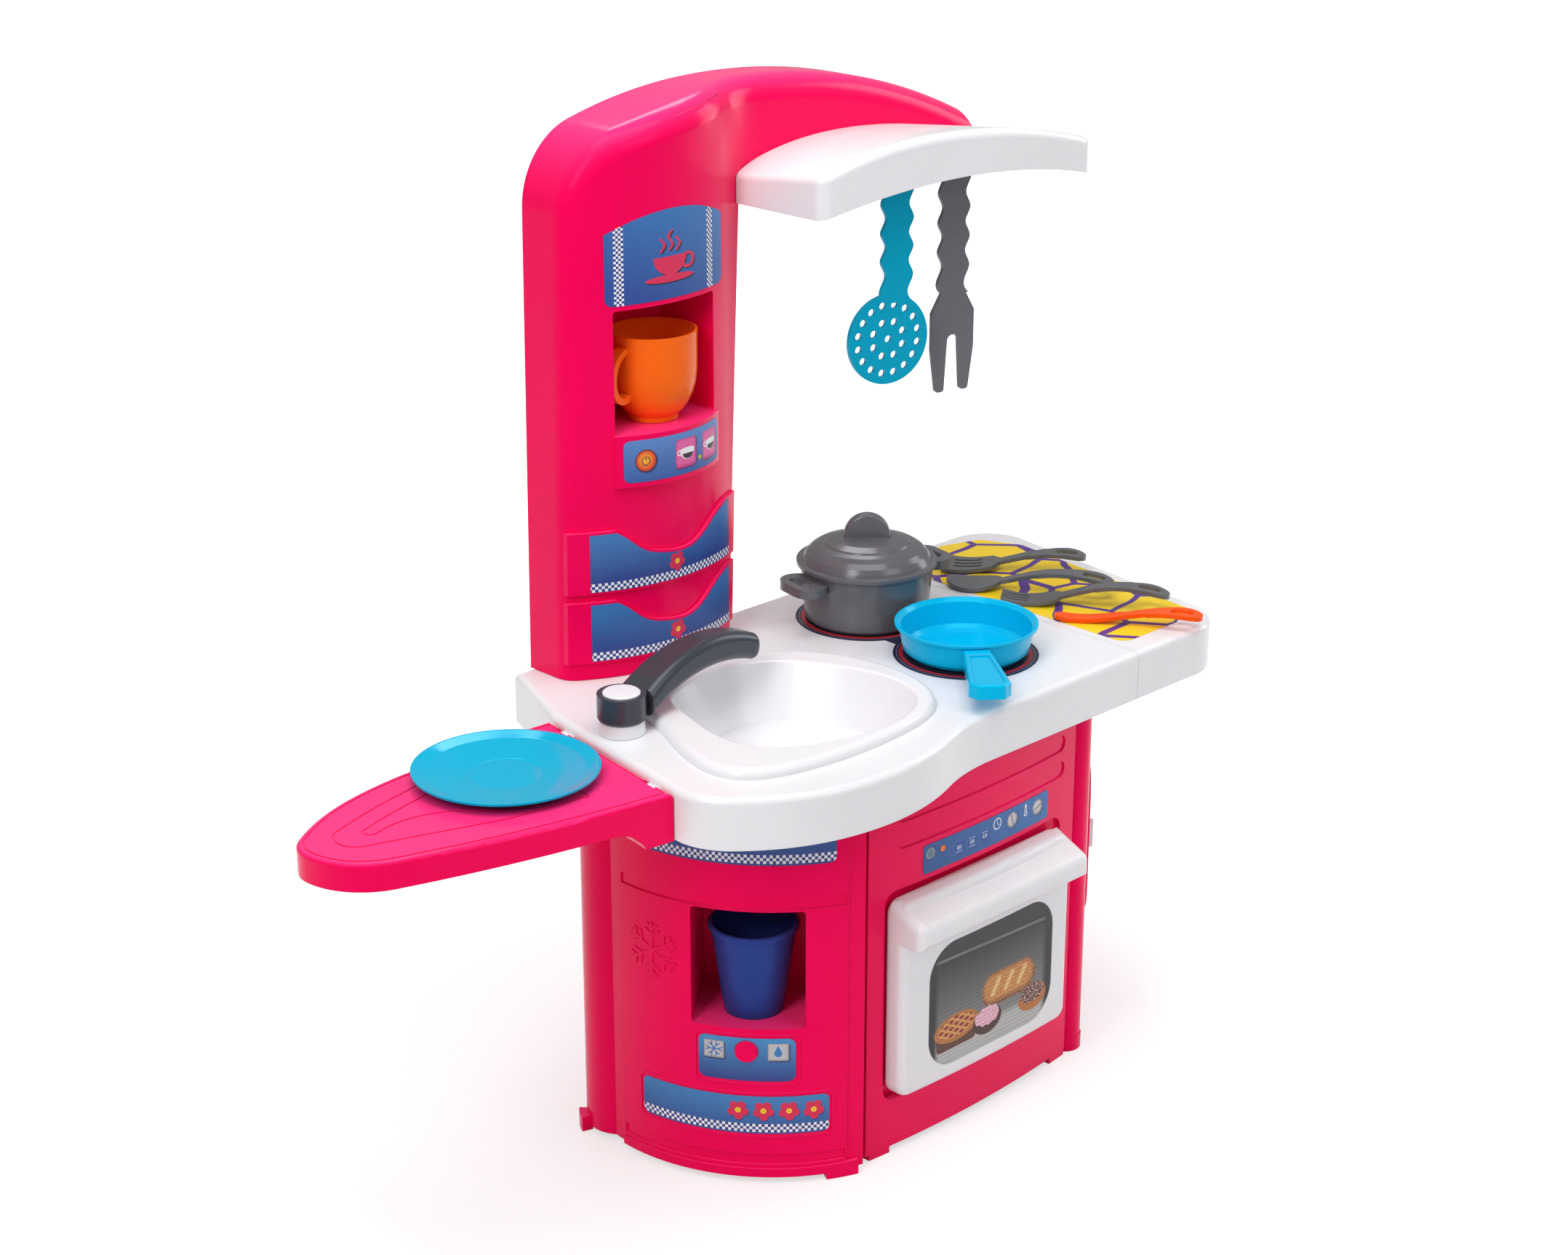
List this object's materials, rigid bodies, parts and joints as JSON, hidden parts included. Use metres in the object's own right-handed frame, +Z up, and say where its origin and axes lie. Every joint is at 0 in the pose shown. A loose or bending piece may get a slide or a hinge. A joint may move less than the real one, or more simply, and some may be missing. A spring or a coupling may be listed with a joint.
{
  "type": "toy kitchen",
  "caption": "Free-standing moulded toy kitchen with sink, hob, oven, washing machine, fridge side, coffee tower, hood, folding side table and loose play dishes.",
  "frame": {"origin": "centre of the bounding box's footprint, on the floor", "axes": "+X along the worktop from the side table to the extension, +Y from the oven front to the back, +Z up"},
  "size_m": [0.883, 0.358, 0.8275],
  "materials": {
    "pink_plastic": "glossy injection-moulded polypropylene",
    "white_plastic": "glossy injection-moulded polypropylene",
    "grey_plastic": "satin moulded plastic",
    "dark_grey_plastic": "satin moulded plastic",
    "light_blue_plastic": "glossy moulded plastic",
    "turquoise_plastic": "glossy moulded plastic",
    "orange_plastic": "glossy moulded plastic",
    "violet_blue_plastic": "glossy moulded plastic",
    "clear_plastic": "clear moulded plastic",
    "steel_screws": "zinc-plated steel",
    "blue_sticker": "printed gloss film",
    "yellow_sticker": "printed gloss film",
    "black_sticker": "printed gloss film",
    "oven_print": "printed gloss film"
  },
  "bodies": {
    "kitchen": {"fridge_front_panel": "pink_plastic", "oven_front_panel": "pink_plastic", "washer_side_panel": "pink_plastic", "back_panel": "pink_plastic", "back_screws": "steel_screws", "base_deck": "pink_plastic", "oven_cavity": "grey_plastic", "oven_control_sticker": "blue_sticker", "fridge_top_sticker": "blue_sticker", "dispenser_sticker": "blue_sticker", "flower_sticker": "blue_sticker", "washer_sticker": "blue_sticker", "sink_worktop": "white_plastic", "worktop_extension": "white_plastic", "extension_sticker": "yellow_sticker", "hob_sticker": "black_sticker", "tap_post": "white_plastic", "tower_front_shell": "pink_plastic", "tower_back_cover": "pink_plastic", "coffee_sticker": "blue_sticker", "coffee_control_sticker": "blue_sticker", "drawer_lower_sticker": "blue_sticker", "drawer_upper_sticker": "blue_sticker", "hood_canopy": "white_plastic", "utensil_hooks": "white_plastic"},
    "oven_door": {"oven_door": "white_plastic", "oven_window_print": "oven_print"},
    "washer_door": {"washer_door": "white_plastic", "washer_window": "clear_plastic", "washer_hinge_pin": "steel_screws"},
    "side_table": {"side_table": "pink_plastic"},
    "tap": {"tap_spout": "dark_grey_plastic", "tap_cap": "white_plastic"},
    "coffee_mug": {"coffee_mug": "orange_plastic"},
    "drinking_cup": {"drinking_cup": "violet_blue_plastic"},
    "cooking_pot": {"cooking_pot": "grey_plastic"},
    "pot_lid": {"pot_lid": "grey_plastic"},
    "frying_pan": {"frying_pan": "light_blue_plastic"},
    "plate": {"plate": "turquoise_plastic"},
    "spatula": {"spatula": "grey_plastic"},
    "spoon": {"spoon": "grey_plastic"},
    "table_fork": {"table_fork": "grey_plastic"},
    "table_knife": {"table_knife": "orange_plastic"},
    "skimmer": {"hanging_skimmer": "turquoise_plastic"},
    "fork": {"hanging_fork": "dark_grey_plastic"}
  },
  "joints": [
    {"name": "oven_door_hinge", "type": "hinge", "parent": "kitchen", "child": "oven_door", "pos_m": [0.09685, -0.14898, 0.062], "axis": [1, 0, 0], "range_deg": [0, 85]},
    {"name": "washer_door_hinge", "type": "hinge", "parent": "kitchen", "child": "washer_door", "pos_m": [0.32717, -0.01588, 0.178], "axis": [0, 0, 1], "range_deg": [0, 100]},
    {"name": "side_table_hinge", "type": "hinge", "parent": "kitchen", "child": "side_table", "pos_m": [-0.17388, 0.00335, 0.353], "axis": [0.1569, 0.9876, 0], "range_deg": [0, 60]},
    {"name": "tap_swivel", "type": "hinge", "parent": "kitchen", "child": "tap", "pos_m": [-0.13665, 0.02402, 0.38], "axis": [0, 0, 1], "range_deg": [-70, 15]},
    {"name": "mug_out", "type": "slide", "parent": "kitchen", "child": "coffee_mug", "axis": [0, -1, 0], "range_m": [0, 0.1]},
    {"name": "cup_out", "type": "slide", "parent": "kitchen", "child": "drinking_cup", "axis": [-0.7837, -0.6211, 0], "range_m": [0, 0.12]},
    {"name": "pot_lift", "type": "slide", "parent": "kitchen", "child": "cooking_pot", "axis": [0, 0, 1], "range_m": [0, 0.06]},
    {"name": "lid_lift", "type": "slide", "parent": "cooking_pot", "child": "pot_lid", "axis": [0, 0, 1], "range_m": [0, 0.06]},
    {"name": "pan_lift", "type": "slide", "parent": "kitchen", "child": "frying_pan", "axis": [0, 0, 1], "range_m": [0, 0.06]},
    {"name": "plate_lift", "type": "slide", "parent": "side_table", "child": "plate", "axis": [0, 0, -1], "range_m": [-0.06, 0]},
    {"name": "spatula_lift", "type": "slide", "parent": "kitchen", "child": "spatula", "axis": [0, 0, 1], "range_m": [0, 0.05]},
    {"name": "spoon_lift", "type": "slide", "parent": "kitchen", "child": "spoon", "axis": [0, 0, 1], "range_m": [0, 0.05]},
    {"name": "table_fork_lift", "type": "slide", "parent": "kitchen", "child": "table_fork", "axis": [0, 0, 1], "range_m": [0, 0.05]},
    {"name": "table_knife_lift", "type": "slide", "parent": "kitchen", "child": "table_knife", "axis": [0, 0, 1], "range_m": [0, 0.05]},
    {"name": "skimmer_swing", "type": "hinge", "parent": "kitchen", "child": "skimmer", "pos_m": [0.18535, 0.03902, 0.744], "axis": [0.9659, -0.2588, 0], "range_deg": [-15, 15]},
    {"name": "fork_swing", "type": "hinge", "parent": "kitchen", "child": "fork", "pos_m": [0.25435, 0.03902, 0.744], "axis": [0.9659, -0.2588, 0], "range_deg": [-15, 15]}
  ]
}
